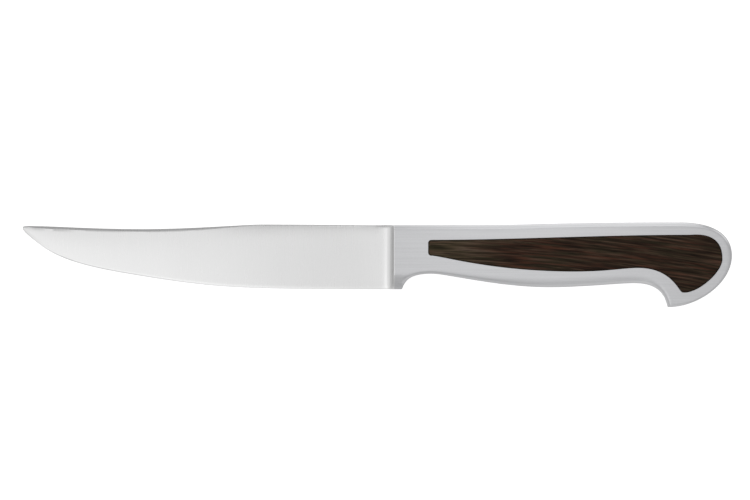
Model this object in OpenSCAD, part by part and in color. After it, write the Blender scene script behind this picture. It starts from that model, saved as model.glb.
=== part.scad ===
// Steak knife with a forged blade and a hollow steel handle inlaid with wood, lying on its right side.
// X runs from the tip to the butt, Y from the edge to the spine and Z up from the face that it rests on.
// Outlines are drawn from the front of the handle, on the line of the spine, and then moved to the origin.

/* [Blade] */
// Length from the tip to the front of the handle
blade_length = 121; // [95:1:150]
// Height of the blade at its heel, and depth of the guard
blade_height = 20.9; // [19:0.1:25]
// Thickness of the spine at the heel
spine_thickness = 2.4; // [1.6:0.1:3.2]
// Thickness of the spine at the tip
tip_thickness = 1.3; // [0.6:0.1:1.6]
// Thickness where the ground edge begins
shoulder_thickness = 0.5; // [0.3:0.05:0.8]
// Thickness of the cutting edge
edge_thickness = 0.15; // [0.05:0.05:0.25]
// Drop of the tip below the line of the spine
tip_drop = 0.6; // [0.3:0.1:2]
// Height of the blunt nose at the tip
nose_height = 0.7; // [0.4:0.1:1.5]
// Length of the rounded nose along the spine
nose_length = 4; // [2:0.5:8]
// Length of the steep part of the edge behind the tip
point_length = 6; // [4:0.5:10]
// Depth of the edge at the end of its steep part
point_depth = 6.6; // [4:0.1:8]
// Length of straight spine in front of the handle
spine_straight = 43; // [30:1:60]
// Rise of the spine at the front of its straight stretch
spine_rise = 0.2; // [0:0.1:0.6]
// Sag of the hollow part of the spine
spine_sag = 1.3; // [0.2:0.1:3]
// Width of the bevel along the hollow part of the spine
swedge_width = 0.8; // [0.3:0.1:0.9]
// Slope of the bevel along the hollow part of the spine, in degrees
swedge_slope = 38; // [20:1:45]
// Share of the hollow spine over which the bevel grows to its width
swedge_growth = 0.35; // [0.1:0.05:1]
// Rise of the edge below the middle of the hollow spine
edge_sweep = 4.3; // [2:0.1:7]
// Rise of the edge below the front of the straight spine
edge_lift = 0.35; // [0:0.05:1]
// Length of the hollow curve that swells the blade to the handle
flare_length = 4; // [2:0.1:6]
// Tightness of the hollow curve at the handle, from 2 for a quarter of an ellipse
flare_power = 3; // [2:0.1:4]

/* [Tang] */
// Length of the tang inside the handle
tang_length = 46; // [25:1:60]
// Height of the tang where it leaves the blade
tang_height = 8; // [5:0.5:9]
// Height of the tang at its end
tang_end_height = 5; // [3:0.5:5]
// Thickness of the tang
tang_thickness = 3; // [2:0.1:3.4]
// Clearance between the tang and its slot in the shells
tang_gap = 0.1; // [0.05:0.05:0.3]

/* [Handle outline] */
// Length from the front of the handle to the butt
handle_length = 109.8; // [100:0.1:130]
// Length of the straight back behind the blade
back_straight = 29; // [12:1:36]
// Rise of the back above the line of the spine
back_rise = 0.9; // [0.2:0.1:2]
// Distance of the highest point of the back from the butt
crest_setback = 16.6; // [14:0.1:24]
// Depth of the hindmost point of the butt
butt_depth = 10; // [8:0.1:12]
// Depth of the point of the beak
beak_depth = 26.7; // [25:0.1:29]
// Distance of the point of the beak from the butt
beak_setback = 20.8; // [18:0.1:22]
// Depth of the waist in front of the beak
waist_depth = 18.9; // [17.5:0.1:20]
// Distance of the waist from the butt
waist_setback = 31.8; // [30:0.1:36]
// Depth of the belly of the handle
belly_depth = 20.25; // [19:0.05:22]
// Distance of the belly from the front of the handle
belly_place = 50.4; // [44:0.1:56]
// Depth of the notch for the first finger
notch_depth = 15.85; // [15:0.05:18]
// Distance of the notch from the front of the handle
notch_place = 12.2; // [10:0.1:14]
// Length of the flat foot of the guard
foot_length = 2.5; // [1.5:0.1:3.5]

/* [Handle section] */
// Thickness across the two steel cheeks
handle_thickness = 12; // [11:0.1:16]
// Width of the rounding along the back
back_round = 1.9; // [1:0.1:2.5]
// Width of the rounding along the belly
belly_round = 3.2; // [1:0.1:4]
// Width of the rounding in the notch
notch_round = 1.2; // [0.8:0.1:1.8]
// Width of the rounding round the butt
butt_round = 1.7; // [1:0.1:2.2]
// Depth of the rounding into the side of the handle
round_depth = 4.5; // [1:0.1:5]
// Fullness of the edge rounding, from 2 for a quarter of an ellipse
round_power = 3; // [2:0.1:4]
// Height of the bevel on the guard
bevel_height = 5.1; // [4:0.1:6]
// Depth of the bevel at the foot of the guard
bevel_depth = 3.5; // [2:0.1:4.5]
// Flatness of the bevel, from 0 for a full rounding to 1 for a flat face
bevel_flatness = 0.65; // [0:0.05:1]
// Width over which the top of the bevel turns into the rounding of the notch
bevel_blend = 0.6; // [0.2:0.1:1]
// Thickness of the shell round its edge
shell_wall = 2; // [1.5:0.1:2.2]
// Thickness of the shell behind the front of the handle
front_wall = 4; // [3:0.1:6]
// Thickness of the shell under the inlay
floor_wall = 1; // [0.8:0.1:1.2]

/* [Inlay] */
// Thickness of the wood
inlay_thickness = 2.2; // [1.8:0.1:2.4]
// Height of the wood above the steel
inlay_rise = 0.3; // [0.1:0.05:0.5]
// Width of the rounded rim of the wood
rim_width = 0.7; // [0.3:0.1:0.9]
// Depth of the rounded rim of the wood
rim_depth = 0.6; // [0.3:0.1:1]
// Thickness of the adhesive under the wood
glue_thickness = 0.2; // [0.1:0.05:0.3]
// Clearance round the wood in its pocket
inlay_gap = 0.05; // [0.05:0.01:0.15]
// Distance of the inlay from the front of the handle
inlay_front = 11; // [9.5:0.1:14]
// Depth of the upper front corner of the inlay
inlay_front_depth = 4.85; // [4:0.05:5.5]
// Height of the front edge of the inlay
inlay_front_height = 5.05; // [4:0.05:6]
// Radius of the two front corners of the inlay
inlay_corner = 1; // [0.9:0.1:1.5]
// Width of the steel band along the back
back_band = 4.1; // [3.5:0.1:5]
// Width of the steel band along the belly
belly_band = 5.2; // [4.5:0.05:6]
// Distance of the belly of the inlay behind the belly of the handle
belly_lag = 8; // [0:0.5:10]
// Width of the steel band at the waist
waist_band = 5; // [4:0.1:6]
// Distance of the end of the inlay's straight back from the butt
inlay_back_setback = 14; // [12:0.1:20]
// Width of the steel band round the butt
butt_band = 3.3; // [3:0.1:4.5]
// Depth of the hindmost point of the inlay below that of the butt
inlay_butt_drop = 0.9; // [0:0.1:2]
// Distance of the point of the inlay behind the point of the beak
beak_band_length = 4.6; // [4:0.1:6.5]
// Height of the point of the inlay above the point of the beak
beak_band_height = 4.85; // [4:0.05:6.5]

/* [Hidden] */

// Steps along each curve, round each rounding, up the front of the handle and along the flare
curve_steps = 14;
round_steps = 5;
front_steps = 3;
flare_steps = 6;
// How far a cutting shape reaches past the face that it opens
past = 1;

cheek = handle_thickness / 2;
half_thickness = cheek + inlay_rise;
pocket_floor = cheek + inlay_rise - inlay_thickness - glue_thickness;
cavity_half = pocket_floor - floor_wall;
middle = [(blade_length - handle_length) / 2, (beak_depth - back_rise) / 2, half_thickness];

function mix(a, b, t) = a + (b - a) * t;
function ease(t) = t * t * (3 - 2 * t);
function toward(angle) = [cos(angle), sin(angle)];
function reversed(list) = [for (i = [len(list) - 1 : -1 : 0]) list[i]];
function lifted(outline, z) = [for (p = outline) [p[0], p[1], z]];

// A knot is a point, its heading, and its reach behind and ahead as shares of the way to the next knot.
function bezier(a, b, c, d, t) =
    mix(mix(mix(a, b, t), mix(b, c, t), t), mix(mix(b, c, t), mix(c, d, t), t), t);
function curve(k, m) =
    let (
        way = norm(m[0] - k[0]),
        ahead = k[0] + way * k[3] * toward(k[1]),
        behind = m[0] - way * m[2] * toward(m[1])
    )
    [for (i = [0 : curve_steps - 1]) bezier(k[0], ahead, behind, m[0], i / curve_steps)];
function stroke(knots) = [for (i = [0 : len(knots) - 2]) each curve(knots[i], knots[i + 1])];
function line(a, b, steps) = [for (i = [0 : steps - 1]) mix(a, b, i / steps)];
// Values given at the knots of a stroke, faded from knot to knot
function fade(values, steps) = [
    for (i = [0 : len(values) - 2]) for (j = [0 : steps - 1]) mix(values[i], values[i + 1], ease(j / steps))
];
// A ring whose points are moved inwards, square to the line through their neighbours
function inset(ring, width) = [
    for (i = [0 : len(ring) - 1])
        let (along = ring[(i + 1) % len(ring)] - ring[(i + len(ring) - 1) % len(ring)])
        ring[i] + width * [along[1], -along[0]] / norm(along)
];

// Outline of the handle, clockwise from the foot of the guard
guard_front = [0, -blade_height];
guard_heel = [foot_length, -blade_height];
back_front = [0, 0];
crest = [handle_length - crest_setback, back_rise];
butt = [handle_length, -butt_depth];
beak = [handle_length - beak_setback, -beak_depth];
waist = [handle_length - waist_setback, -waist_depth];
belly = [belly_place, -belly_depth];
notch = [notch_place, -notch_depth];
// Headings of the outline into the point of the beak and out of it
beak_arrival = 179;
beak_departure = 105;
back_knots = [
    [back_front, 0, 0, 0.33],
    [[back_straight, 0], 0, 0.33, 0.21],
    [crest, 0, 0.61, 0.54],
    [butt, -90, 0.35, 0.33],
    [beak, beak_arrival, 0.36, 0]
];
notch_knot = [notch, 180, 0.12, 0.64];
belly_knots = [
    [beak, beak_departure, 0, 0.17],
    [waist, 180, 0.71, 0.17],
    [belly, 180, 0.39, 0.43],
    notch_knot
];
heel_curve = curve(notch_knot, [guard_heel, -109, 0.29, 0]);
handle_outline = concat(
    line(guard_front, back_front, front_steps),
    stroke(back_knots),
    stroke(belly_knots),
    heel_curve,
    [guard_heel]
);

// From each point of the outline to the edge of the flat cheek
back_inset = [0, -back_round];
butt_inset = [-butt_round, 0];
beak_inset = butt_round * toward((beak_arrival - 180 + beak_departure) / 2);
belly_inset = [0, belly_round];
// From the heel to the notch, the bevel's level top turns into a rounding of even width.
function guard_inset(p) =
    let (rounding = p[1] + notch_round, bevel = bevel_height - blade_height)
    [0, (rounding + bevel + norm([rounding - bevel, bevel_blend])) / 2 - p[1]];
notch_inset = guard_inset(notch);
heel_inset = guard_inset(guard_heel);
heel_insets = [for (p = heel_curve) guard_inset(p)];
cheek_insets = concat(
    line(heel_inset, back_inset, front_steps),
    fade([back_inset, back_inset, back_inset, butt_inset, beak_inset], curve_steps),
    fade([beak_inset, belly_inset, belly_inset, notch_inset], curve_steps),
    heel_insets,
    [heel_inset]
);
// How far the edge is the guard's bevel instead of a rounding
bevels = concat(
    line(1, 0, front_steps),
    [for (p = concat(stroke(back_knots), stroke(belly_knots))) 0],
    [for (p = heel_insets) (p[1] - notch_inset[1]) / (heel_inset[1] - notch_inset[1])],
    [1]
);
function edge_depth(bevel) = mix(round_depth, bevel_depth, bevel);
function edge_power(bevel) = 2 / mix(round_power, 2, bevel);
function edge_width_at(k, bevel) =
    let (width = 1 - pow(cos(90 * k / round_steps), edge_power(bevel)))
    mix(width, k / round_steps, bevel * bevel_flatness);
function edge_height_at(k, bevel) =
    let (rise = pow(sin(90 * k / round_steps), edge_power(bevel)))
    cheek - edge_depth(bevel) * (1 - mix(rise, k / round_steps, bevel * bevel_flatness));
function handle_ring(k) = [
    for (i = [0 : len(handle_outline) - 1])
        let (p = handle_outline[i] + cheek_insets[i] * edge_width_at(k, bevels[i]))
        [p[0], p[1], edge_height_at(k, bevels[i])]
];

// Outline of the inlay, clockwise from the foot of its front edge
inlay_top = -inlay_front_depth;
inlay_foot = inlay_top - inlay_front_height;
inlay_start = [[inlay_front, inlay_foot + inlay_corner], 90, 0.39, 0.33];
inlay_knots = [
    inlay_start,
    [[inlay_front, inlay_top - inlay_corner], 90, 0.33, 0.39],
    [[inlay_front + inlay_corner, inlay_top], 0, 0.39, 0.3],
    [[handle_length - inlay_back_setback, back_rise - back_band], 0, 0.34, 0.11],
    [butt - [butt_band, inlay_butt_drop], -90, 0.7, 0.28],
    [beak + [beak_band_length, beak_band_height], 171, 0.26, 0.08],
    [waist + [0, waist_band], 182.5, 0.69, 0.27],
    [belly + [belly_lag, belly_band], 180, 0.51, 0.57],
    [[inlay_front + inlay_corner, inlay_foot], 180, 0.07, 0.39],
    inlay_start
];
inlay_outline = stroke(inlay_knots);

// Spine and edge of the blade, from the tip to the start of the flare
hollow_middle = (blade_length + spine_straight) / 2;
spine_knots = [
    [[-blade_length, -tip_drop], 75, 0, 0.1],
    [[-blade_length + nose_length, -tip_drop / 2], -1, 0.5, 0.26],
    [[-hollow_middle, -spine_sag], 0, 0.43, 0.41],
    [[-spine_straight, spine_rise], 0, 0.15, 0.25],
    [[-flare_length, 0], 0, 0.25, 0]
];
edge_knots = [
    [[-blade_length, -tip_drop - nose_height], -62, 0, 0.22],
    [[-blade_length + point_length, -point_depth], -37, 0.31, 0.28],
    [[-hollow_middle, edge_sweep - blade_height], -9.3, 0.38, 0.46],
    [[-spine_straight, edge_lift - blade_height], -1.8, 0.33, 0.3],
    [[-flare_length, -blade_height], 0, 0.3, 0]
];
blade_spine = concat(stroke(spine_knots), [spine_knots[4][0]]);
blade_edge = concat(stroke(edge_knots), [edge_knots[4][0]]);

// Half section at the front of the handle, as depth below the spine and half thickness
front_section = concat(
    [for (k = [0 : round_steps]) [back_round * edge_width_at(k, 0), edge_height_at(k, 0)]],
    [for (k = [round_steps : -1 : 0])
        [blade_height - heel_inset[1] * edge_width_at(k, 1), edge_height_at(k, 1)]]
);
section_last = len(front_section) - 1;
function share_down(j) = front_section[j][0] / blade_height;

// Half thickness of the ground blade, tapered to the tip and to the edge
function ground_half(x, share) =
    mix(mix(spine_thickness, tip_thickness, -x / blade_length), shoulder_thickness, share) / 2;
// Width of the bevel along the hollow spine, within half the blade's height and most of its thickness
function swedge_at(x, height) =
    let (along = (-x - spine_straight) / (blade_length - spine_straight) / swedge_growth)
    min(
        swedge_width * sin(90 * min(max(along, 0), 1)),
        height / 2,
        (ground_half(x, 0) - edge_thickness / 2) / tan(swedge_slope)
    );
function swedge_cut(x, height, down) = max(swedge_at(x, height) - down, 0) * tan(swedge_slope);
// A closed ring across the blade, swollen towards the section of the handle
function blade_half(top, foot, j) =
    let (share = share_down(j), x = mix(top, foot, share)[0], height = norm(foot - top))
    j == section_last ? edge_thickness / 2
    : max(ground_half(x, share) - swedge_cut(x, height, share * height), edge_thickness / 2);
function blade_ring(top, foot, swell) =
    let (half = [
        for (j = [0 : section_last])
            let (p = mix(top, foot, share_down(j)))
            [p[0], p[1], -mix(blade_half(top, foot, j), front_section[j][1], swell)]
    ])
    concat(half, reversed([for (p = half) [p[0], p[1], -p[2]]]));
function flare_ring(turn) =
    let (x = flare_length * (pow(sin(turn), 2 / flare_power) - 1))
    blade_ring([x, 0], [x, -blade_height], 1 - pow(cos(turn), 2 / flare_power));

// A closed solid through rings of equal length, whose flat ends are strips between the two halves of a ring
module skin(rings) {
    count = len(rings[0]);
    last = (len(rings) - 1) * count;
    sides = [
        for (i = [0 : len(rings) - 2]) for (j = [0 : count - 1])
            let (a = i * count + j, b = i * count + (j + 1) % count)
            each [[a, b, b + count], [a, b + count, a + count]]
    ];
    strip = [
        for (j = [0 : count / 2 - 2])
            let (k = count - 1 - j)
            each [[j, k, k - 1], [j, k - 1, j + 1]]
    ];
    far_strip = [for (f = strip) [last + f[0], last + f[2], last + f[1]]];
    polyhedron([for (r = rings) each r], concat(sides, strip, far_strip));
}

module placed() {
    translate(middle) children();
}

module on_right() {
    mirror([0, 0, 1]) children();
}

module tang(clearance) {
    centre = -notch_depth / 2;
    front = tang_height / 2 + clearance;
    end = tang_end_height / 2 + clearance;
    tip = tang_length + clearance;
    linear_extrude(tang_thickness + 2 * clearance, center = true)
        polygon([
            [-past, centre + front], [0, centre + front], [tip - end, centre + end], [tip, centre + end / 2],
            [tip, centre - end / 2], [tip - end, centre - end], [0, centre - front], [-past, centre - front]
        ]);
}

module blade() {
    ribs = [for (i = [0 : len(blade_spine) - 1]) blade_ring(blade_spine[i], blade_edge[i], 0)];
    flare = [for (i = [1 : flare_steps]) flare_ring(90 * i / flare_steps)];
    color("gainsboro") placed() union() {
        skin(concat(ribs, flare));
        tang(0);
    }
}

module cavity_outline() {
    intersection() {
        offset(delta = -shell_wall) polygon(handle_outline);
        translate([front_wall, -beak_depth]) square([handle_length, beak_depth + back_rise]);
    }
}

module handle_shell() {
    rings = concat([lifted(handle_outline, 0)], [for (k = [0 : round_steps]) handle_ring(k)]);
    difference() {
        skin(rings);
        translate([0, 0, pocket_floor])
            linear_extrude(inlay_thickness + glue_thickness) polygon(inset(inlay_outline, -inlay_gap));
        translate([0, 0, -past]) linear_extrude(cavity_half + past) cavity_outline();
        tang(tang_gap);
    }
}

module handle_shell_left() {
    color("silver") placed() handle_shell();
}

module handle_shell_right() {
    color("silver") placed() on_right() handle_shell();
}

module inlay() {
    straight = inlay_thickness - rim_depth;
    rim = [
        for (k = [0 : round_steps])
            let (turn = 90 * k / round_steps)
            lifted(inset(inlay_outline, rim_width * (1 - cos(turn))), rim_depth * sin(turn))
    ];
    translate([0, 0, pocket_floor + glue_thickness]) {
        linear_extrude(straight) polygon(inlay_outline);
        translate([0, 0, straight]) skin(rim);
    }
}

module inlay_left() {
    color("#3a2c25") placed() inlay();
}

module inlay_right() {
    color("#3a2c25") placed() on_right() inlay();
}

module inlay_glue() {
    translate([0, 0, pocket_floor]) linear_extrude(glue_thickness) polygon(inlay_outline);
}

module inlay_glue_left() {
    color("khaki") placed() inlay_glue();
}

module inlay_glue_right() {
    color("khaki") placed() on_right() inlay_glue();
}

module handle_filler() {
    color("lightgrey") placed() difference() {
        linear_extrude(2 * cavity_half, center = true) cavity_outline();
        tang(0);
    }
}

blade();
handle_shell_left();
handle_shell_right();
inlay_left();
inlay_right();
inlay_glue_left();
inlay_glue_right();
handle_filler();
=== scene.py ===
"""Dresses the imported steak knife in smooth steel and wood, lying on a white table under soft light."""
import math

import bmesh
import bpy
import numpy as np
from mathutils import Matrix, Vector
from mathutils.geometry import tessellate_polygon


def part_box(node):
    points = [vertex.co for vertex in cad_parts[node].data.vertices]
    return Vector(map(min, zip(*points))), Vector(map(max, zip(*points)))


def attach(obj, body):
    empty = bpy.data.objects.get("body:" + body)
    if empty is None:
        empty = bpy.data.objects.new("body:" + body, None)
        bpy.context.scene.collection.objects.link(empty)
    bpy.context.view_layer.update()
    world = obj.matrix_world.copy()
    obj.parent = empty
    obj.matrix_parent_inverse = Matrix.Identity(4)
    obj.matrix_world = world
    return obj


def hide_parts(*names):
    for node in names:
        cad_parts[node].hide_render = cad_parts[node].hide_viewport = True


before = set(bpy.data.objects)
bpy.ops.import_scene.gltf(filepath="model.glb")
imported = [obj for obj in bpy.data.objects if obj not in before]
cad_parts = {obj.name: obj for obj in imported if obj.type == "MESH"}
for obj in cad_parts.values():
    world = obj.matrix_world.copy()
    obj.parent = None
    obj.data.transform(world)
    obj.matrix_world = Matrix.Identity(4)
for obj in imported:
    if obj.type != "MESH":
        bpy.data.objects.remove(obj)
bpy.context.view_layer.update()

MM = 0.001


def corners(node):
    """Lowest and highest corner of a CAD node, in millimetres."""
    return [np.array(corner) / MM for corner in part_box(node)]


# Sizes that the frame gives, in millimetres
shell_low, shell_high = corners("handle_shell_left")
blade_low, blade_high = corners("blade")
inlay_low, inlay_high = corners("inlay_left")
glue_low = corners("inlay_glue_left")[0]
filler_low, filler_high = corners("handle_filler")

# Shapes are drawn from the front of the handle, on the line of the spine and in the middle plane
BACK_RISE = 0.9
ORIGIN = np.array([shell_low[0], shell_high[1] - BACK_RISE, shell_low[2]])
HANDLE_LENGTH = shell_high[0] - ORIGIN[0]
BEAK_DEPTH = ORIGIN[1] - shell_low[1]
CHEEK = shell_high[2] - ORIGIN[2]
BLADE_LENGTH = ORIGIN[0] - blade_low[0]
BLADE_HEIGHT = ORIGIN[1] - blade_low[1]
TANG_LENGTH = blade_high[0] - ORIGIN[0]
INLAY_FRONT = inlay_low[0] - ORIGIN[0]
INLAY_FLOOR = inlay_low[2] - ORIGIN[2]
INLAY_TOP = inlay_high[2] - ORIGIN[2]
POCKET_FLOOR = glue_low[2] - ORIGIN[2]
CAVITY_HALF = filler_high[2] - ORIGIN[2]
FRONT_WALL = filler_low[0] - ORIGIN[0]

# Blade, as in the part's source
SPINE_THICKNESS = 2.4
TIP_THICKNESS = 1.3
SHOULDER_THICKNESS = 0.5
EDGE_THICKNESS = 0.15
TIP_DROP = 0.6
NOSE_HEIGHT = 0.7
NOSE_LENGTH = 4.0
POINT_LENGTH = 6.0
POINT_DEPTH = 6.6
SPINE_STRAIGHT = 43.0
SPINE_RISE = 0.2
SPINE_SAG = 1.3
SWEDGE_WIDTH = 0.8
SWEDGE_SLOPE = 38
SWEDGE_GROWTH = 0.35
EDGE_SWEEP = 4.3
EDGE_LIFT = 0.35
FLARE_LENGTH = 4.0
FLARE_POWER = 3.0
# Fine forms that the part's source leaves out. The rounding of the spine widens towards the handle
SPINE_ROUND = 0.5
HEEL_ROUND = 0.95
HEEL_LENGTH = 27.0
# Slight crown under that rounding, as a share of the thickness, and where it fades before the handle
CROWN_WIDTH = 4.0
CROWN_SHARE = 0.35
CROWN_END = 2.5
CROWN_FADE = 3.0
# Length behind the tip over which the bevel of the spine grows out of the crown
TIP_FADE = 6.0
# Rounded corner where the flare meets the handle, and the most that the creases of the flare are softened
SEAM_ROUND = 0.25
FLARE_BLEND = 0.6
# Gentle thickening of the blade before the handle, as a length and a share of the handle's thickness
RUNOUT_LENGTH = 13.0
RUNOUT_SWELL = 0.09
# Where the flat grind of the heel turns into the rounded grind of the tip, in front of the handle
GRIND_START = 35.0
GRIND_END = 95.0

# Tang and hollow, as in the part's source
TANG_HEIGHT = 8.0
TANG_END_HEIGHT = 5.0
TANG_THICKNESS = 3.0
TANG_GAP = 0.1
SHELL_WALL = 2.0
# Share of that wall that every point of the hollow has to keep
KEPT_WALL = 0.99

# Handle, as in the part's source
BACK_STRAIGHT = 29.0
CREST_SETBACK = 16.6
BUTT_DEPTH = 10.0
BEAK_SETBACK = 20.8
BEAK_ARRIVAL = 179
BEAK_DEPARTURE = 105
WAIST_DEPTH = 18.9
WAIST_SETBACK = 31.8
BELLY_DEPTH = 20.25
BELLY_PLACE = 50.4
NOTCH_DEPTH = 15.85
NOTCH_PLACE = 12.2
FOOT_LENGTH = 2.5
BACK_ROUND = 1.9
BELLY_ROUND = 3.2
NOTCH_ROUND = 1.2
BUTT_ROUND = 1.7
ROUND_DEPTH = 4.5
ROUND_POWER = 3.0
BEVEL_HEIGHT = 5.1
BEVEL_DEPTH = 3.5
BEVEL_FLATNESS = 0.65
BEVEL_BLEND = 0.6

# Inlay, as in the part's source
RIM_WIDTH = 0.7
RIM_DEPTH = 0.6
INLAY_GAP = 0.05
INLAY_FRONT_DEPTH = 4.85
INLAY_FRONT_HEIGHT = 5.05
INLAY_CORNER = 1.0
INLAY_BACK_SETBACK = 14.0
INLAY_BUTT_DROP = 0.9
BACK_BAND = 4.1
BELLY_BAND = 5.2
BELLY_LAG = 8.0
WAIST_BAND = 5.0
BUTT_BAND = 3.3
BEAK_BAND_LENGTH = 4.6
BEAK_BAND_HEIGHT = 4.85
# Broken edge of the steel round the pocket, whose wall lies on the outline. The wood lies a gap inside it
POCKET_CHAMFER = 0.05

# Fineness of the meshes
CURVE_STEPS = 36
ROUND_STEPS = 12
FLARE_STEPS = 20
SEAM_STEPS = 5
MIDDLE_STEPS = 8
BEVEL_STEPS = 8
PROFILE_STEPS = 200
SHARP_ANGLE = math.radians(28)
# Width of the strip that keeps a flat face flat beside a rounding
HOLD = 0.04
# How far a cutting shape reaches past the face that it opens
PAST = 1.0


def mix(a, b, share):
    """The value a share of the way from a to b."""
    return a + (b - a) * share


def toward(angle):
    """Unit vector of a heading in degrees."""
    return np.array([math.cos(math.radians(angle)), math.sin(math.radians(angle))])


def curve(knot, following):
    """Points from one knot to the next. A knot is a point, its heading, and its reach behind and ahead."""
    start, end = np.array(knot[0], float), np.array(following[0], float)
    way = np.linalg.norm(end - start)
    ahead = start + way * knot[3] * toward(knot[1])
    behind = end - way * following[2] * toward(following[1])
    t = (np.arange(CURVE_STEPS) / CURVE_STEPS)[:, None]
    return (1 - t) ** 3 * start + 3 * t * (1 - t) ** 2 * ahead + 3 * t**2 * (1 - t) * behind + t**3 * end


def stroke(knots):
    """Points through several knots, from the first up to the last, which is left out."""
    return np.concatenate([curve(a, b) for a, b in zip(knots, knots[1:])])


def fade(values):
    """Values given at the knots of a stroke, eased from knot to knot."""
    shares = [(i / CURVE_STEPS) ** 2 * (3 - 2 * i / CURVE_STEPS) for i in range(CURVE_STEPS)]
    pairs = zip(values, values[1:])
    return np.array([mix(np.array(a, float), np.array(b, float), s) for a, b in pairs for s in shares])


def inset(ring, width):
    """A clockwise ring whose points are moved inwards, square to the line through their neighbours."""
    along = np.roll(ring, -1, axis=0) - np.roll(ring, 1, axis=0)
    inwards = np.column_stack([along[:, 1], -along[:, 0]])
    return ring + width * inwards / np.linalg.norm(inwards, axis=1)[:, None]


def lifted(outline, z):
    """Flat points raised to one height, or each to its own."""
    return np.column_stack([outline, np.broadcast_to(z, len(outline))])


class Skin:
    """Points and faces of one piece, gathered ring by ring."""

    def __init__(self):
        self.points = []
        self.faces = []

    def ring(self, points):
        """Adds points and returns their indices."""
        first = len(self.points)
        self.points.extend(tuple(p) for p in points)
        return list(range(first, len(self.points)))

    def band(self, lower, upper):
        """Faces between two rings of equal length."""
        for i in range(len(lower)):
            j = (i + 1) % len(lower)
            self.faces.append((lower[i], lower[j], upper[j], upper[i]))

    def cover(self, ring):
        """One flat face inside a ring."""
        self.faces.append(tuple(ring))

    def cover_between(self, outer, inner):
        """Flat faces between a ring and a ring inside it."""
        order = outer + inner
        loops = [[Vector(self.points[i]) for i in ring] for ring in (outer, inner)]
        self.faces.extend(tuple(order[i] for i in face) for face in tessellate_polygon(loops))

    def stack(self, rings):
        """Bands through several rings of points. Returns the indices of the first and the last ring."""
        placed = [self.ring(points) for points in rings]
        for lower, upper in zip(placed, placed[1:]):
            self.band(lower, upper)
        return placed[0], placed[-1]

    def mesh(self, name, mirrored=False):
        """A mesh in metres in the frame, with its faces turned outwards."""
        side = np.array([1, 1, -1 if mirrored else 1])
        made = bpy.data.meshes.new(name)
        placed = (np.array(self.points) * side + ORIGIN) * MM
        made.from_pydata(placed.tolist(), [], self.faces)
        work = bmesh.new()
        work.from_mesh(made)
        bmesh.ops.recalc_face_normals(work, faces=work.faces)
        work.to_mesh(made)
        work.free()
        return made


def prism(outline, low, high):
    """An upright solid over an outline, as a skin."""
    skin = Skin()
    floor, roof = skin.stack([lifted(outline, low), lifted(outline, high)])
    skin.cover(floor)
    skin.cover(roof)
    return skin


def combined(mesh, cutters, operation):
    """The mesh with other meshes cut away or added."""
    body = bpy.data.objects.new(mesh.name, mesh)
    tools = [bpy.data.objects.new(f"{mesh.name}_tool", cutter) for cutter in cutters]
    for item in [body, *tools]:
        bpy.context.collection.objects.link(item)
    for tool in tools:
        modifier = body.modifiers.new(operation, "BOOLEAN")
        modifier.operation = operation
        modifier.solver = "EXACT"
        modifier.object = tool
    made = bpy.data.meshes.new_from_object(body.evaluated_get(bpy.context.evaluated_depsgraph_get()))
    made.name = mesh.name
    for item in [body, *tools]:
        spent = item.data
        bpy.data.objects.remove(item)
        bpy.data.meshes.remove(spent)
    return made


def add_piece(name, mesh, node, material):
    """Shows a mesh in place of a CAD node."""
    mesh.shade_smooth()
    mesh.set_sharp_from_angle(angle=SHARP_ANGLE)
    mesh.materials.clear()
    mesh.materials.append(material)
    piece = bpy.data.objects.new(name, mesh)
    bpy.context.collection.objects.link(piece)
    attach(piece, "root")
    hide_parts(node)


# Outline of the handle, clockwise from the foot of the guard
guard_front = (0, -BLADE_HEIGHT)
guard_heel = (FOOT_LENGTH, -BLADE_HEIGHT)
crest = np.array([HANDLE_LENGTH - CREST_SETBACK, BACK_RISE])
butt = np.array([HANDLE_LENGTH, -BUTT_DEPTH])
beak = np.array([HANDLE_LENGTH - BEAK_SETBACK, -BEAK_DEPTH])
waist = np.array([HANDLE_LENGTH - WAIST_SETBACK, -WAIST_DEPTH])
belly = np.array([BELLY_PLACE, -BELLY_DEPTH])
notch = (NOTCH_PLACE, -NOTCH_DEPTH)
back_knots = [
    ((0, 0), 0, 0, 0.33),
    ((BACK_STRAIGHT, 0), 0, 0.33, 0.21),
    (crest, 0, 0.61, 0.54),
    (butt, -90, 0.35, 0.33),
    (beak, BEAK_ARRIVAL, 0.36, 0),
]
notch_knot = (notch, 180, 0.12, 0.64)
belly_knots = [
    (beak, BEAK_DEPARTURE, 0, 0.17),
    (waist, 180, 0.71, 0.17),
    (belly, 180, 0.39, 0.43),
    notch_knot,
]
back_curve = stroke(back_knots)
belly_curve = stroke(belly_knots)
heel_curve = curve(notch_knot, (guard_heel, -109, 0.29, 0))
handle_outline = np.concatenate([[guard_front], back_curve, belly_curve, heel_curve, [guard_heel]])

# From each point of the outline to the edge of the flat cheek
back_inset = (0, -BACK_ROUND)
butt_inset = (-BUTT_ROUND, 0)
beak_inset = BUTT_ROUND * toward((BEAK_ARRIVAL - 180 + BEAK_DEPARTURE) / 2)
belly_inset = (0, BELLY_ROUND)


def guard_inset(point):
    """From the heel to the notch, the bevel's level top turns into a rounding of even width."""
    rounding = point[1] + NOTCH_ROUND
    bevel = BEVEL_HEIGHT - BLADE_HEIGHT
    top = (rounding + bevel + math.hypot(rounding - bevel, BEVEL_BLEND)) / 2
    return (0, top - point[1])


notch_inset = guard_inset(notch)
heel_inset = guard_inset(guard_heel)
heel_insets = np.array([guard_inset(point) for point in heel_curve])
cheek_insets = np.concatenate([
    [heel_inset],
    fade([back_inset, back_inset, back_inset, butt_inset, beak_inset]),
    fade([beak_inset, belly_inset, belly_inset, notch_inset]),
    heel_insets,
    [heel_inset],
])
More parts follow.
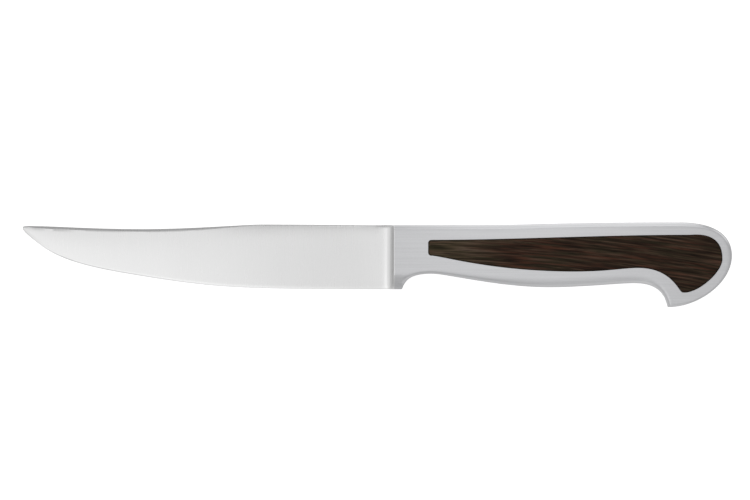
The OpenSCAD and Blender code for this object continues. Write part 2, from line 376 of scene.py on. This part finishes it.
# How far the edge is the guard's bevel instead of a rounding
bevels = np.concatenate([
    [1],
    np.zeros(len(back_curve) + len(belly_curve)),
    (heel_insets[:, 1] - notch_inset[1]) / (heel_inset[1] - notch_inset[1]),
    [1],
])

# Outline of the inlay, clockwise from the foot of its front edge
inlay_upper = -INLAY_FRONT_DEPTH
inlay_lower = inlay_upper - INLAY_FRONT_HEIGHT
inlay_start = ((INLAY_FRONT, inlay_lower + INLAY_CORNER), 90, 0.39, 0.33)
inlay_outline = stroke([
    inlay_start,
    ((INLAY_FRONT, inlay_upper - INLAY_CORNER), 90, 0.33, 0.39),
    ((INLAY_FRONT + INLAY_CORNER, inlay_upper), 0, 0.39, 0.3),
    ((HANDLE_LENGTH - INLAY_BACK_SETBACK, BACK_RISE - BACK_BAND), 0, 0.34, 0.11),
    (butt - (BUTT_BAND, INLAY_BUTT_DROP), -90, 0.7, 0.28),
    (beak + (BEAK_BAND_LENGTH, BEAK_BAND_HEIGHT), 171, 0.26, 0.08),
    (waist + (0, WAIST_BAND), 182.5, 0.69, 0.27),
    (belly + (BELLY_LAG, BELLY_BAND), 180, 0.51, 0.57),
    ((INLAY_FRONT + INLAY_CORNER, inlay_lower), 180, 0.07, 0.39),
    inlay_start,
])


def edge_profile(share, bevel):
    """Share of the inset, and height, of the handle's edge. Share 0 is its side and share 1 its cheek."""
    turn = share * math.pi / 2
    power = 2 / mix(ROUND_POWER, 2, bevel)
    width = mix(1 - np.cos(turn) ** power, share, bevel * BEVEL_FLATNESS)
    rise = mix(np.sin(turn) ** power, share, bevel * BEVEL_FLATNESS)
    return width, CHEEK - mix(ROUND_DEPTH, BEVEL_DEPTH, bevel) * (1 - rise)


def handle_ring(share):
    """Points all round the handle, a share of the way up its edge from its side to its cheek."""
    width, height = edge_profile(share, bevels)
    return lifted(handle_outline + cheek_insets * width[:, None], height)


def cavity_outline():
    """The hollow inside the handle, a wall's width from the outline all round."""
    inner = inset(handle_outline, SHELL_WALL)
    inner[:, 0] = np.maximum(inner[:, 0], FRONT_WALL)
    away = np.linalg.norm(inner[:, None] - handle_outline[None], axis=2).min(axis=1)
    return inner[away > SHELL_WALL * KEPT_WALL]


def tang_outline(clearance):
    """The tapered tang from inside the blade to its cut-off corners, widened by a clearance."""
    centre = -NOTCH_DEPTH / 2
    front = TANG_HEIGHT / 2 + clearance
    end = TANG_END_HEIGHT / 2 + clearance
    tip = TANG_LENGTH + clearance
    upper = [(-PAST, front), (0, front), (tip - end, end), (tip, end / 2)]
    lower = [(x, -y) for x, y in reversed(upper)]
    return np.array([(x, centre + y) for x, y in upper + lower])


def tang(clearance, name, mirrored=False):
    """The tang, or with a clearance the slot that holds it."""
    half = TANG_THICKNESS / 2 + clearance
    return prism(tang_outline(clearance), -half, half).mesh(name, mirrored)


def shell_mesh(name, mirrored):
    """One half of the handle, with the pocket for its inlay, the hollow and half of the tang's slot."""
    skin = Skin()
    edge = [handle_ring(k / ROUND_STEPS) for k in range(ROUND_STEPS + 1)]
    reach = np.linalg.norm(cheek_insets, axis=1)[:, None]
    held = lifted(handle_outline + cheek_insets * (1 + HOLD / reach), CHEEK)
    held[:, 0] = np.maximum(held[:, 0], HOLD)
    seam, cheek_edge = skin.stack([lifted(handle_outline, 0), *edge, held])
    rim = [
        lifted(inset(inlay_outline, -POCKET_CHAMFER - HOLD), CHEEK),
        lifted(inset(inlay_outline, -POCKET_CHAMFER), CHEEK),
        lifted(inlay_outline, CHEEK - POCKET_CHAMFER),
        lifted(inlay_outline, POCKET_FLOOR),
    ]
    pocket_rim, pocket_floor = skin.stack(rim)
    skin.cover(seam)
    skin.cover_between(cheek_edge, pocket_rim)
    skin.cover(pocket_floor)
    cavity = prism(cavity_outline(), -PAST, CAVITY_HALF).mesh(f"{name}_cavity", mirrored)
    slot = tang(TANG_GAP, f"{name}_slot", mirrored)
    return combined(skin.mesh(name, mirrored), [cavity, slot], "DIFFERENCE")


def inlay_mesh(name, mirrored):
    """One wooden panel, with a straight wall in its pocket and a rounded rim above."""
    skin = Skin()
    wood_outline = inset(inlay_outline, INLAY_GAP)
    rings = [lifted(wood_outline, INLAY_FLOOR)]
    for k in range(ROUND_STEPS + 1):
        turn = math.radians(90 * k / ROUND_STEPS)
        height = INLAY_TOP - RIM_DEPTH * (1 - math.sin(turn))
        rings.append(lifted(inset(wood_outline, RIM_WIDTH * (1 - math.cos(turn))), height))
    rings.append(lifted(inset(wood_outline, RIM_WIDTH + HOLD), INLAY_TOP))
    floor, top = skin.stack(rings)
    skin.cover(floor)
    skin.cover(top)
    return skin.mesh(name, mirrored)


# Spine and edge of the blade, from the tip to the start of the flare
hollow_middle = (BLADE_LENGTH + SPINE_STRAIGHT) / 2
spine_line = stroke([
    ((-BLADE_LENGTH, -TIP_DROP), 75, 0, 0.1),
    ((-BLADE_LENGTH + NOSE_LENGTH, -TIP_DROP / 2), -1, 0.5, 0.26),
    ((-hollow_middle, -SPINE_SAG), 0, 0.43, 0.41),
    ((-SPINE_STRAIGHT, SPINE_RISE), 0, 0.15, 0.25),
    ((-FLARE_LENGTH, 0), 0, 0.25, 0),
])
edge_line = stroke([
    ((-BLADE_LENGTH, -TIP_DROP - NOSE_HEIGHT), -62, 0, 0.22),
    ((-BLADE_LENGTH + POINT_LENGTH, -POINT_DEPTH), -37, 0.31, 0.28),
    ((-hollow_middle, EDGE_SWEEP - BLADE_HEIGHT), -9.3, 0.38, 0.46),
    ((-SPINE_STRAIGHT, EDGE_LIFT - BLADE_HEIGHT), -1.8, 0.33, 0.3),
    ((-FLARE_LENGTH, -BLADE_HEIGHT), 0, 0.3, 0),
])
# Depths below the spine, as shares of the height, at which a section has points
section_shares = np.concatenate([
    BACK_ROUND * edge_profile(np.linspace(0, 1, ROUND_STEPS + 1), 0)[0][:-1],
    np.linspace(BACK_ROUND, BLADE_HEIGHT - BEVEL_HEIGHT, MIDDLE_STEPS + 1)[:-1],
    np.linspace(BLADE_HEIGHT - BEVEL_HEIGHT, BLADE_HEIGHT, BEVEL_STEPS + 1),
]) / BLADE_HEIGHT


def guard_half(down):
    """Half thickness of the handle's front at depths below the spine, with the guard's bevel alone."""
    width, height = edge_profile(np.linspace(0, 1, PROFILE_STEPS), 1)
    return np.interp(BLADE_HEIGHT - down, heel_inset[1] * width, height)


def front_half(down):
    """Half thickness of the handle's front at depths below the spine, with the rounded back too."""
    width, height = edge_profile(np.linspace(0, 1, PROFILE_STEPS), 0)
    return np.minimum(np.interp(down, BACK_ROUND * width, height), guard_half(down))


def ease(share):
    """A rise from 0 to 1 that slows towards its end."""
    return np.sin(math.pi / 2 * np.clip(share, 0, 1))


def swedge_growth(x):
    """How far the bevel of the spine has grown. The straight spine and the very tip have none."""
    along = (-x - SPINE_STRAIGHT) / (BLADE_LENGTH - SPINE_STRAIGHT)
    return ease(along / SWEDGE_GROWTH) * ease((x + BLADE_LENGTH) / TIP_FADE)


def softened(half, x, down, share):
    """A half thickness with a share of the crown and of the rounding along the spine."""
    crown = CROWN_SHARE * share * np.clip((-x - CROWN_END) / CROWN_FADE, 0, 1)
    crowned = half * (1 - crown * np.clip(1 - down / CROWN_WIDTH, 0, 1) ** 2)
    rounding = mix(SPINE_ROUND, HEEL_ROUND, np.clip(1 + x / HEEL_LENGTH, 0, 1))
    corner = np.clip(rounding - down, 0, rounding)
    return crowned - share * (rounding - np.sqrt(rounding**2 - corner**2))


def bevelled(half, spine, down, growth):
    """A half thickness with the bevel along the hollow spine cut away."""
    slope = math.tan(math.radians(SWEDGE_SLOPE))
    width = np.minimum(SWEDGE_WIDTH * growth, (spine - EDGE_THICKNESS) / 2 / slope)
    width = np.minimum(width, down[-1] / 2)
    return half - np.maximum(width - down, 0) * slope


def blade_half(x, down):
    """Half thickness of the ground blade at the points of a section, before it swells to the handle."""
    spine = mix(SPINE_THICKNESS, TIP_THICKNESS, -x / BLADE_LENGTH)
    roundness = np.clip((-x - GRIND_START) / (GRIND_END - GRIND_START), 0, 1)
    growth = swedge_growth(x)
    half = mix(spine, SHOULDER_THICKNESS, section_shares ** (1 + roundness)) / 2
    half = softened(half, x, down, 1 - growth)
    half = np.maximum(bevelled(half, spine, down, growth), EDGE_THICKNESS / 2)
    half[-1] = EDGE_THICKNESS / 2
    return half


def runout_at(x):
    """Gentle swelling of the blade before the flare, as a share of the handle's thickness."""
    return RUNOUT_SWELL * np.clip(1 + x / RUNOUT_LENGTH, 0, 1) ** 2


def flare_at(x):
    """How far the blade has swollen to the handle's cheek: a hollow flare, then a round corner."""
    corner = SEAM_ROUND / (CHEEK - SPINE_THICKNESS / 2)
    along = np.clip(1 + (x + SEAM_ROUND) / (FLARE_LENGTH - SEAM_ROUND), 0, 1)
    hollow = (1 - corner) * (1 - (1 - along**FLARE_POWER) ** (1 / FLARE_POWER))
    rounded = mix(1 - corner, 1, np.sqrt(1 - np.clip(x / SEAM_ROUND, -1, 0) ** 2))
    return np.where(x < -SEAM_ROUND, hollow, rounded)


def blade_ring(top, foot):
    """A closed section of the blade. The handle's section cuts the flare, with a softened crease."""
    places = mix(np.array(top), np.array(foot), section_shares[:, None])
    down = section_shares * np.linalg.norm(np.subtract(foot, top))
    x = places[:, 0]
    half = mix(blade_half(x, down), guard_half(down), runout_at(x))
    flare = flare_at(x)
    swept = mix(half, CHEEK, flare)
    front = front_half(down)
    softness = 4 * FLARE_BLEND * flare * (1 - flare)
    half = (swept + front - np.hypot(swept - front, softness)) / 2
    return np.concatenate([lifted(places, -half), lifted(places, half)[::-1]])


def blade_mesh(name):
    """The blade from its tip through its flare, with the tang."""
    rings = [blade_ring(top, foot) for top, foot in zip(spine_line, edge_line)]
    flare_turns = np.linspace(0, math.pi / 2, FLARE_STEPS)
    corner_turns = np.linspace(0, math.pi / 2, SEAM_STEPS + 1)[1:]
    places = np.concatenate([
        -SEAM_ROUND - (FLARE_LENGTH - SEAM_ROUND) * (1 - np.sin(flare_turns) ** (2 / FLARE_POWER)),
        -SEAM_ROUND * np.cos(corner_turns),
    ])
    rings += [blade_ring((x, 0), (x, -BLADE_HEIGHT)) for x in places]
    skin = Skin()
    tip, end = skin.stack(rings)
    skin.cover(tip)
    skin.cover(end)
    return combined(skin.mesh(name), [tang(0, f"{name}_tang")], "UNION")


class Nodes:
    """The node tree of a material or a world."""

    def __init__(self, owner):
        owner.use_nodes = True
        self.tree = owner.node_tree

    def node(self, kind, settings=(), **inputs):
        """A new node. An input given as a socket is linked, and any other is set."""
        made = self.tree.nodes.new(kind)
        for key, value in dict(settings).items():
            setattr(made, key, value)
        for key, value in inputs.items():
            self.put(made.inputs[key.replace("_", " ")], value)
        return made

    def put(self, socket, value):
        """Links a socket to an input, or sets the input to a value."""
        if isinstance(value, bpy.types.NodeSocket):
            self.tree.links.new(value, socket)
        else:
            socket.default_value = value

    def ramp(self, value, stops):
        """Colours, or grey values, along a number from 0 to 1."""
        made = self.node("ShaderNodeValToRGB", Fac=value)
        slots = made.color_ramp.elements
        while len(slots) < len(stops):
            slots.new(0.5)
        for slot, (position, colour) in zip(slots, stops):
            slot.position = position
            slot.color = (*colour, 1) if isinstance(colour, tuple) else (colour, colour, colour, 1)
        return made.outputs["Color"]

    def blend(self, share, first, second, mode="MIX"):
        """Two colours mixed by a share."""
        made = self.node("ShaderNodeMix", {"data_type": "RGBA", "blend_type": mode})
        self.put(made.inputs["Factor"], share)
        self.put(made.inputs[6], first)
        self.put(made.inputs[7], second)
        return made.outputs[2]

    def calc(self, operation, first, second):
        """A sum, product or other result of two numbers."""
        made = self.node("ShaderNodeMath", {"operation": operation})
        self.put(made.inputs[0], first)
        self.put(made.inputs[1], second)
        return made.outputs[0]


class Shading(Nodes):
    """A material with its principled shader."""

    def __init__(self, name):
        self.material = bpy.data.materials.new(name)
        super().__init__(self.material)
        self.shader = self.tree.nodes["Principled BSDF"]
        self.place = self.node("ShaderNodeTexCoord").outputs["Object"]

    def set(self, **inputs):
        """Sets or links inputs of the shader."""
        for key, value in inputs.items():
            self.put(self.shader.inputs[key.replace("_", " ")], value)

    def noise(self, stretch, detail=3.0, roughness=0.5, place=None):
        """Noise with that many features a metre along each axis, from 0 to 1."""
        grid = self.node("ShaderNodeMapping", Vector=place or self.place, Scale=stretch)
        made = self.node(
            "ShaderNodeTexNoise", Vector=grid.outputs[0], Scale=1.0, Detail=detail, Roughness=roughness
        )
        return made.outputs["Fac"]

    def relief(self, height, strength, distance):
        """Bends the shader's normal by a height from 0 to 1."""
        bump = self.node("ShaderNodeBump", Height=height, Strength=strength, Distance=distance)
        self.set(Normal=bump.outputs[0])


def blade_steel():
    """Bright steel, ground across the blade."""
    look = Shading("blade_steel")
    lines = look.noise((5200, 55, 300), detail=4, roughness=0.65)
    cloud = look.noise((26, 40, 40), detail=2)
    tone = look.ramp(lines, [(0.25, (0.678, 0.678, 0.678)), (0.75, (0.696, 0.696, 0.696))])
    cast = look.ramp(cloud, [(0.3, 0.97), (0.7, 1.0)])
    look.set(Base_Color=look.blend(1.0, tone, cast, "MULTIPLY"), Metallic=1.0)
    look.set(Roughness=look.ramp(lines, [(0.2, 0.25), (0.8, 0.33)]))
    look.relief(lines, 0.03, 0.00002)
    return look.material


def handle_steel():
    """Satin steel, a little bluish."""
    look = Shading("handle_steel")
    satin = look.noise((1500, 5200, 5200), detail=4, roughness=0.6)
    lines = look.noise((38, 2300, 2300), detail=3)
    tone = look.ramp(satin, [(0.25, (0.51, 0.512, 0.522)), (0.75, (0.566, 0.568, 0.58))])
    cast = look.ramp(lines, [(0.3, 0.93), (0.7, 1.01)])
    look.set(Base_Color=look.blend(1.0, tone, cast, "MULTIPLY"), Metallic=1.0)
    look.set(Roughness=look.ramp(satin, [(0.2, 0.3), (0.8, 0.38)]))
    look.relief(satin, 0.15, 0.00002)
    return look.material


# The wood's grain sinks by this times the square of its place along the knife, in metres
GRAIN_DIP = 0.75
# Most that the noise mixes olive streaks among the brown ones
OLIVE_MOST = 0.7
# Between these places along the knife, in metres, the wood turns more olive and paler towards its front
PALE_START = 0.043
PALE_END = 0.024
# How much is added there to the share of olive, and to the brightness
PALE_OLIVE = 0.6
PALE_GAIN = 0.3


def wood_streaks(look, streaks, hues, along):
    """Brown and olive streaks, paler and more olive at the front."""
    front = look.node("ShaderNodeMapRange", Value=along)
    front.inputs["From Min"].default_value = PALE_START
    front.inputs["From Max"].default_value = PALE_END
    paleness = front.outputs[0]
    browns = look.ramp(streaks, [
        (0.34, (0.0115, 0.0066, 0.0037)),
        (0.47, (0.018, 0.0102, 0.0068)),
        (0.57, (0.038, 0.0162, 0.0098)),
        (0.7, (0.06, 0.0245, 0.0142)),
    ])
    olives = look.ramp(streaks, [
        (0.34, (0.0165, 0.0142, 0.0072)),
        (0.5, (0.041, 0.0297, 0.0175)),
        (0.66, (0.068, 0.0465, 0.034)),
    ])
    olive_share = look.calc("MULTIPLY", look.ramp(hues, [(0.42, 0.0), (0.62, 1.0)]), OLIVE_MOST)
    olive_share = look.calc("ADD", olive_share, look.calc("MULTIPLY", paleness, PALE_OLIVE))
    colour = look.blend(olive_share, browns, olives)
    gain = look.calc("ADD", look.calc("MULTIPLY", paleness, PALE_GAIN), 1)
    return look.blend(1.0, colour, gain, "MULTIPLY")


def dark_wood():
    """Dark open-grained wood with painted shade on its steep rim, whose grain dips towards the butt."""
    look = Shading("dark_wood")
    axes = look.node("ShaderNodeSeparateXYZ", Vector=look.place).outputs
    dip = look.calc("MULTIPLY", look.calc("MULTIPLY", axes["X"], axes["X"]), GRAIN_DIP)
    across = look.calc("ADD", axes["Y"], dip)
    grain = look.node("ShaderNodeCombineXYZ", X=axes["X"], Y=across, Z=axes["Z"]).outputs[0]
    streaks = look.noise((75, 1750, 300), detail=3, roughness=0.55, place=grain)
    hues = look.noise((60, 1400, 250), detail=2, place=grain)
    pores = look.noise((150, 3600, 1800), detail=2, place=grain)
    colour = wood_streaks(look, streaks, hues, axes["X"])
    pore_tone = look.ramp(pores, [(0.34, 0.45), (0.46, 1.0)])
    colour = look.blend(1.0, colour, pore_tone, "MULTIPLY")
    facing = look.node("ShaderNodeNewGeometry").outputs["Normal"]
    upright = look.node("ShaderNodeSeparateXYZ", Vector=facing).outputs["Z"]
    # Painted shade: the rim darkens to half its colour where it turns steep, standing in for the shade
    # beside the steel.
    rim_painted_shade = look.ramp(look.calc("MULTIPLY", upright, upright), [(0.15, 0.5), (0.85, 1.0)])
    look.set(Base_Color=look.blend(1.0, colour, rim_painted_shade, "MULTIPLY"))
    look.set(Roughness=look.ramp(streaks, [(0.3, 0.42), (0.7, 0.52)]), Specular_IOR_Level=0.04)
    look.relief(pores, 0.35, 0.00005)
    return look.material


def adhesive():
    """Cured amber adhesive, with faint flow marks."""
    look = Shading("adhesive")
    flow = look.noise((180, 240, 240), detail=3)
    look.set(Base_Color=look.ramp(flow, [(0.3, (0.5, 0.38, 0.19)), (0.7, (0.64, 0.53, 0.32))]))
    look.set(Roughness=look.ramp(flow, [(0.3, 0.2), (0.7, 0.35)]))
    look.relief(flow, 0.2, 0.0001)
    return look.material


def cement():
    """Rough cast cement with darker grains."""
    look = Shading("cement")
    grains = look.noise((900, 900, 900), detail=6, roughness=0.7)
    look.set(Base_Color=look.ramp(grains, [(0.35, (0.4, 0.39, 0.37)), (0.6, (0.58, 0.57, 0.54))]))
    look.set(Roughness=look.ramp(grains, [(0.3, 0.8), (0.7, 0.95)]))
    look.relief(grains, 0.5, 0.0002)
    return look.material


def dress_knife():
    """Shows finer pieces in place of the nodes that can be seen, and gives the hidden ones materials."""
    steel, satin, wood = blade_steel(), handle_steel(), dark_wood()
    add_piece("blade_piece", blade_mesh("blade_piece"), "blade", steel)
    for side, mirrored in (("left", False), ("right", True)):
        shell = f"shell_{side}_piece"
        inlay = f"inlay_{side}_piece"
        add_piece(shell, shell_mesh(shell, mirrored), f"handle_shell_{side}", satin)
        add_piece(inlay, inlay_mesh(inlay, mirrored), f"inlay_{side}", wood)
    hidden = {
        "inlay_glue_left": adhesive(),
        "inlay_glue_right": adhesive(),
        "handle_filler": cement(),
    }
    for node, material in hidden.items():
        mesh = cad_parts[node].data
        mesh.materials.clear()
        mesh.materials.append(material)


# The photograph's frame, and where the knife lies in it
IMAGE_WIDTH = 750
IMAGE_HEIGHT = 500
MM_A_PIXEL = 0.325
SEAM_PIXEL = 394.4
SPINE_PIXEL = 225.1
CAMERA_DISTANCE = 2.5
CAMERA_REACH = 20.0
SENSOR = 36.0
# Height at which that scale holds, as a share of the way from the middle plane to the cheek
SCALE_LEVEL = 2 / 3


def add_camera():
    """A long lens straight above the knife, framed as in the photograph."""
    centre_x = ORIGIN[0] + (IMAGE_WIDTH / 2 - SEAM_PIXEL) * MM_A_PIXEL
    centre_y = ORIGIN[1] + (SPINE_PIXEL - IMAGE_HEIGHT / 2) * MM_A_PIXEL
    scale_height = (ORIGIN[2] + CHEEK * SCALE_LEVEL) * MM
    lens = bpy.data.cameras.new("camera")
    lens.sensor_width = SENSOR
    lens.lens = SENSOR * CAMERA_DISTANCE / (IMAGE_WIDTH * MM_A_PIXEL * MM)
    lens.clip_end = CAMERA_REACH
    camera = bpy.data.objects.new("camera", lens)
    camera.location = (centre_x * MM, centre_y * MM, scale_height + CAMERA_DISTANCE)
    bpy.context.collection.objects.link(camera)
    bpy.context.scene.camera = camera


# From the middle of the floor to each of its sides, in metres
FLOOR_REACH = 6.0


def add_floor():
    """A white table that glows a little, so that no shadow greys it."""
    sides = [(-1, -1), (1, -1), (1, 1), (-1, 1)]
    mesh = bpy.data.meshes.new("floor")
    mesh.from_pydata([(FLOOR_REACH * x, FLOOR_REACH * y, 0) for x, y in sides], [], [(0, 1, 2, 3)])
    look = Shading("floor")
    look.set(Base_Color=(0.9, 0.9, 0.9, 1), Roughness=0.9, Specular_IOR_Level=0.1)
    look.set(Emission_Color=(1, 1, 1, 1), Emission_Strength=0.55)
    mesh.materials.append(look.material)
    floor = bpy.data.objects.new("floor", mesh)
    bpy.context.collection.objects.link(floor)
    floor.visible_glossy = False
    floor.visible_shadow = False


def add_softbox(name, place, aim, size, radiance):
    """An even panel of light, hidden from the camera."""
    panel = bpy.data.lights.new(name, "AREA")
    panel.shape = "RECTANGLE"
    panel.size, panel.size_y = size
    panel.energy = radiance * math.pi * size[0] * size[1]
    light = bpy.data.objects.new(name, panel)
    light.location = place
    light.rotation_euler = (Vector(aim) - Vector(place)).to_track_quat("-Z", "Y").to_euler()
    light.visible_camera = False
    bpy.context.collection.objects.link(light)


# Brightness of the room by direction: how far the direction points along an axis, and the light from there
ROOM_ALONG = [
    (-1, 0.75), (-0.93, 1), (-0.5, 1.05), (-0.2, 1.05), (0, 0.95), (0.4, 0.9), (0.87, 0.88), (1, 0.8),
]
ROOM_ABOVE = [
    (-1, 0.62), (-0.87, 0.7), (-0.5, 0.93), (-0.2, 1), (0, 1.01), (0.12, 0.94), (0.25, 0.77), (0.4, 0.67),
    (0.55, 0.87), (0.8, 0.7), (0.92, 0.47), (1, 0.47),
]
ROOM_BELOW = [(-1, 0.84), (-0.3, 0.78), (0.3, 0.74), (1, 0.47)]
# How far above and below level the light from below turns into the light from above
HORIZON_BLEND = 0.06
# Panels of light: name, place, aim, and width and depth, in metres, and radiance
SOFTBOXES = [
    ("over_tip", (-0.105, -0.0675, 0.25), (-0.105, -0.0675, 0), (0.13, 0.145), 0.35),
    ("over_handle", (0.05, 0.0925, 0.2), (0.05, 0.0925, 0), (0.085, 0.215), 0.36),
    ("before_blade", (-0.0815, -0.085, 0.15), (-0.0815, 0, 0), (0.157, 0.05), 0.36),
    ("before_handle", (0.0925, -0.12, 0.01), (0.0925, 0, 0.01), (0.095, 0.22), 0.2),
    ("beyond_butt", (0.275, 0.18, -0.04), (0.095, 0, -0.04), (0.18, 0.32), 0.75),
    ("behind_handle", (0.0815, 0.25, -0.08), (0.0815, 0, -0.08), (0.157, 0.84), 0.85),
]


def add_room():
    """A pale room whose brightness changes with direction."""
    world = bpy.data.worlds.new("room")
    room = Nodes(world)
    direction = room.node("ShaderNodeTexCoord").outputs["Generated"]
    axes = room.node("ShaderNodeSeparateXYZ", Vector=direction).outputs

    def by_side(axis, stops):
        """The light for how far a direction points along an axis."""
        place = room.calc("MULTIPLY", room.calc("ADD", axes[axis], 1), 0.5)
        return room.ramp(place, [((side + 1) / 2, light) for side, light in stops])

    height = by_side("Z", [(-HORIZON_BLEND, 0), (HORIZON_BLEND, 1)])
    across = room.blend(height, by_side("Y", ROOM_BELOW), by_side("Y", ROOM_ABOVE))
    light = room.blend(1.0, across, by_side("X", ROOM_ALONG), "MULTIPLY")
    room.put(room.tree.nodes["Background"].inputs["Color"], light)
    bpy.context.scene.world = world


dress_knife()
add_camera()
add_floor()
add_room()
for softbox in SOFTBOXES:
    add_softbox(*softbox)
bpy.context.scene.view_settings.view_transform = "Standard"
